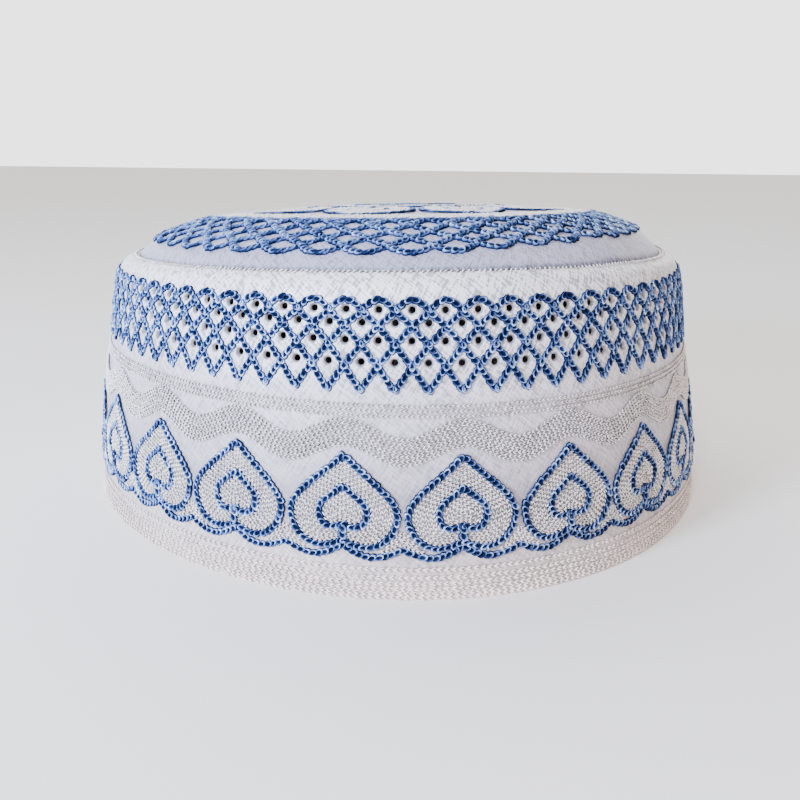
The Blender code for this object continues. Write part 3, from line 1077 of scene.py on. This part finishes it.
def lattice_puff(turns, runs, columns, first_turn, level_runs):
    """How far a lattice's cells swell between its lines: 0 on a line, 1 in a cell's middle."""
    order = np.argsort(level_runs)
    levels = np.interp(runs, np.asarray(level_runs)[order], order)
    inside = (runs > min(level_runs)) & (runs < max(level_runs))
    steps = (turns - first_turn) * columns / (2 * math.pi)
    swell = np.abs(np.sin(np.pi * (steps + levels / 2)) * np.sin(np.pi * (steps - levels / 2)))
    return np.where(inside, swell, 0.0)


CELL_SWELL = 0.00022
GROOVE_DEPTH = 0.00055
GROOVE_REACH = 0.0006
PUCKER_HEIGHT = 0.00007
PUCKER_REACH = 0.0030
SAG_HEIGHT = 0.00012
SAG_MIDDLE = 0.02
SAG_REACH = 0.02


def cloth_lift(turns, runs):
    """The satin's own relief: swelling lattice cells, the seam's groove and puckers, and a
    slight unevenness low on the wall."""
    wall = lattice_puff(
        turns, runs, WALL_LATTICE_COLUMNS, WALL_LATTICE_TURN, run_at_height(WALL_LATTICE_HEIGHTS)
    )
    crown = lattice_puff(
        turns, runs, CROWN_LATTICE_COLUMNS, CROWN_LATTICE_TURN, run_at_radius(CROWN_LATTICE_RADII)
    )
    from_seam = np.abs(runs - SEAM_RUN)
    groove = GROOVE_DEPTH * np.exp(-((from_seam / GROOVE_REACH) ** 2))
    ripples = np.sin(151 * turns + 2.1 * np.sin(17 * turns)) + 0.6 * np.sin(233 * turns + 1.3)
    puckers = PUCKER_HEIGHT * ripples * np.exp(-from_seam / PUCKER_REACH)
    low = np.exp(-(((runs - SAG_MIDDLE) / SAG_REACH) ** 2))
    sag = SAG_HEIGHT * np.sin(9 * turns + 400 * runs) * low
    return CELL_SWELL * (wall + crown) - groove + puckers + sag


def cloth_piece(name, node, material, columns, first_turn, row_runs, eyelets=False):
    """A sheet of satin: a flat grid with its eyelets, laid on the cap and thickened."""
    mesh = bmesh.new()
    rows = len(row_runs) - 1
    bmesh.ops.create_grid(mesh, x_segments=columns, y_segments=rows, size=0.5)
    for vert in mesh.verts:
        column = round((vert.co.x + 0.5) * columns)
        row = round((vert.co.y + 0.5) * rows)
        vert.co = (FLAT_RADIUS * (first_turn + 2 * math.pi * column / columns), row_runs[row], 0.0)
    if eyelets:
        open_eyelets(mesh)
    cloth_map = mesh.loops.layers.uv.new("cloth")
    dimple_painted_shade = mesh.verts.layers.float.new("dimple_painted_shade")
    for face in mesh.faces:
        for loop in face.loops:
            loop[cloth_map].uv = loop.vert.co.xy
    flat = np.array([vert.co[:] for vert in mesh.verts])
    turns = flat[:, 0] / FLAT_RADIUS
    laid = on_cap(flat[:, 1], turns, flat[:, 2] + cloth_lift(turns, flat[:, 1]))
    for vert, point in zip(mesh.verts, laid.tolist()):
        # How far each point sinks is kept as the mask for the painted shade in the eyelets'
        # dimples.
        vert[dimple_painted_shade] = min(1.0, -vert.co.z / EYELET_RINGS[1].sink)
        vert.co = point
    bmesh.ops.remove_doubles(mesh, verts=mesh.verts[:], dist=0.00001)
    bmesh.ops.recalc_face_normals(mesh, faces=mesh.faces[:])
    bmesh.ops.solidify(mesh, geom=mesh.faces[:], thickness=CLOTH_THICKNESS)
    for vert in mesh.verts:
        vert.co.z = max(vert.co.z, 0.0)
    data = bpy.data.meshes.new(name)
    mesh.to_mesh(data)
    mesh.free()
    data.shade_smooth()
    data.set_sharp_from_angle(angle=math.radians(50))
    return add_piece(name, data, material, [node])


def open_eyelets(mesh):
    """Opens a round dimpled eyelet in the flat satin, in each cell of the wall's lattice."""
    column_width = FLAT_RADIUS * 2 * math.pi / WALL_LATTICE_COLUMNS
    first = FLAT_RADIUS * WALL_LATTICE_TURN
    reach = column_width / 4
    around_eyelets = []
    for face in mesh.faces:
        middle = face.calc_center_median()
        for height, shift in zip(EYELET_HEIGHTS, EYELET_SHIFTS):
            low, high = run_at_height((height - EYELET_REACH, height + EYELET_REACH))
            if low < middle.y < high:
                steps = (middle.x - first) / column_width - shift
                if abs(steps - round(steps)) * column_width < reach:
                    around_eyelets.append(face)
    patches = bmesh.ops.dissolve_faces(mesh, faces=around_eyelets, use_verts=False)["region"]
    for patch in patches:
        middle = patch.calc_center_bounds()
        for step in EYELET_RINGS:
            bmesh.ops.inset_individual(mesh, faces=[patch], thickness=0.0001)
            for vert in patch.verts:
                away = (vert.co - middle).xy.normalized() * step.radius
                vert.co = (middle.x + away.x, middle.y + away.y, -step.sink)
    bmesh.ops.delete(mesh, geom=patches, context="FACES")


def make_wall():
    first_turn = WALL_LATTICE_TURN - math.pi - math.pi / WALL_LATTICE_COLUMNS / 2
    wall = cloth_piece(
        "wall_cloth",
        "side_wall",
        WALL_SATIN,
        CELLS_PER_COLUMN * WALL_LATTICE_COLUMNS,
        first_turn,
        wall_row_runs(),
        eyelets=True,
    )


# The crown's rows of corners: close together from its seam, then wider to the middle.
CROWN_COLUMNS = 336
CLOSE_FROM = SEAM_RUN + 0.0001
CLOSE_TO = SEAM_RUN + 0.0045
CLOSE_STEP = 0.0006
WIDE_FROM = SEAM_RUN + 0.0055
WIDE_ROWS = 46


def make_crown():
    near_seam = np.arange(CLOSE_FROM, CLOSE_TO, CLOSE_STEP)
    to_middle = np.linspace(WIDE_FROM, MIDDLE_RUN, WIDE_ROWS)
    rows = np.concatenate([near_seam, to_middle])
    crown = cloth_piece("crown_cloth", "crown_top", CROWN_SATIN, CROWN_COLUMNS, 0.0, rows)


# The sky's brightness before and behind the cap, its colours from the left to the right, and
# where it fades: to the back's brightness, and to the right's darkness.
SKY_FRONT = 1.00
SKY_BACK = 3.00
BACK_SLOPE = 1.6
BACK_START = 0.1
RIGHT_SLOPE = 4.0
RIGHT_START = 1.9
SKY_COLOURS = (
    (0.00, (0.84, 0.92, 1.00)),
    (0.50, (0.70, 0.67, 0.70)),
    (0.68, (0.40, 0.34, 0.31)),
    (0.84, (0.22, 0.17, 0.14)),
    (1.00, (0.14, 0.10, 0.08)),
)
Light = collections.namedtuple("Light", "name spot size power colour")
LIGHTS = (
    Light("soft_left", (-0.70, -0.68, 0.32), 0.22, 23.0, (0.60, 0.72, 1.0)),
    Light("soft_right", (0.75, -0.60, 0.25), 0.30, 1.7, (1.0, 0.56, 0.32)),
    Light("soft_top", (-0.2, -0.75, 0.7), 0.30, 7.0, (0.90, 0.94, 1.0)),
)
LIGHTS_AIM = (0.0, 0.0, 0.045)
FLOOR_COLOUR = (0.97, 0.94, 0.90)
FLOOR_HALF_WIDTH = 4.0


def make_stage():
    """A plain pale floor, the sky and soft lights."""
    paint = Paint("pale_floor", Roughness=0.9, Specular_IOR_Level=0.1)
    paint.finish(Base_Color=(*FLOOR_COLOUR, 1))
    mesh = bmesh.new()
    bmesh.ops.create_grid(mesh, x_segments=1, y_segments=1, size=FLOOR_HALF_WIDTH)
    data = bpy.data.meshes.new("floor")
    mesh.to_mesh(data)
    mesh.free()
    data.materials.append(paint.material)
    floor = bpy.data.objects.new("floor", data)
    bpy.context.scene.collection.objects.link(floor)
    floor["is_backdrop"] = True
    world = bpy.data.worlds.new("studio")
    bpy.context.scene.world = world
    world.use_nodes = True
    sky = Mixer(world.node_tree, "Background")
    way = sky.node("ShaderNodeTexCoord", {}, {}, "Generated")
    sideways = sky.part(way, 0)
    to_the_right = sky.held(sideways * RIGHT_SLOPE - RIGHT_START)
    backwards = sky.held(sky.part(way, 1) * BACK_SLOPE + BACK_START) * (1 - to_the_right)
    colour = sky.ramp(sideways * 0.5 + 0.5, SKY_COLOURS)
    sky.finish(
        Color=sky.blend(backwards, colour, (1.0, 1.0, 1.0, 1)),
        Strength=SKY_FRONT + backwards * (SKY_BACK - SKY_FRONT),
    )
    for light in LIGHTS:
        data = bpy.data.lights.new(light.name, "AREA")
        data.size = light.size
        data.energy = light.power
        data.color = light.colour
        lamp = bpy.data.objects.new(light.name, data)
        lamp.location = light.spot
        aim = Vector(LIGHTS_AIM) - Vector(light.spot)
        lamp.rotation_euler = aim.to_track_quat("-Z", "Y").to_euler()
        bpy.context.scene.collection.objects.link(lamp)


# The camera as fitted to the rim in the picture, with its angles in radians.
CAMERA_BACK = 0.2650
CAMERA_HEIGHT = 0.0981
CAMERA_PITCH = 0.2858
CAMERA_YAW = 0.0037
CAMERA_ROLL = 0.0114
CAMERA_FOCUS_PIXELS = 853
PICTURE_PIXELS = 800
SENSOR_WIDTH = 36.0


def make_camera():
    data = bpy.data.cameras.new("camera")
    data.sensor_width = SENSOR_WIDTH
    data.lens = CAMERA_FOCUS_PIXELS / PICTURE_PIXELS * SENSOR_WIDTH
    data.clip_start = 0.01
    camera = bpy.data.objects.new("camera", data)
    turned = (
        Matrix.Rotation(CAMERA_YAW, 4, "Z")
        @ Matrix.Rotation(math.pi / 2 - CAMERA_PITCH, 4, "X")
        @ Matrix.Rotation(CAMERA_ROLL, 4, "Z")
    )
    spot = Vector((0.0, -CAMERA_BACK, CAMERA_HEIGHT)) - Vector(RIM_CENTRE)
    camera.matrix_world = Matrix.Translation(spot) @ turned
    bpy.context.scene.collection.objects.link(camera)
    bpy.context.scene.camera = camera


make_wall()
make_crown()
make_seam_stitches()
make_wall_lattice()
make_crown_lattice()
make_heart_outlines("heart_outlines", wall_hearts(), 3)
make_heart_fill("heart_fill", wall_hearts(), 4, numbered("heart", WALL_HEARTS))
make_scallops()
make_gap_rows()
make_wave_band()
make_upper_rows()
make_hem_rows()
make_crown_rings()
make_heart_outlines("crown_heart_outlines", crown_hearts(), 13, bulk=0.7)
make_heart_fill(
    "crown_heart_fill", crown_hearts(), 14, numbered("crown_heart", CROWN_HEARTS), bulk=1.4
)
make_crown_eye()
make_stage()
make_camera()

boxes = {"cad": SOLID_BOX, "visual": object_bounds()}
{name: [list(corner) for corner in box] for name, box in boxes.items()}
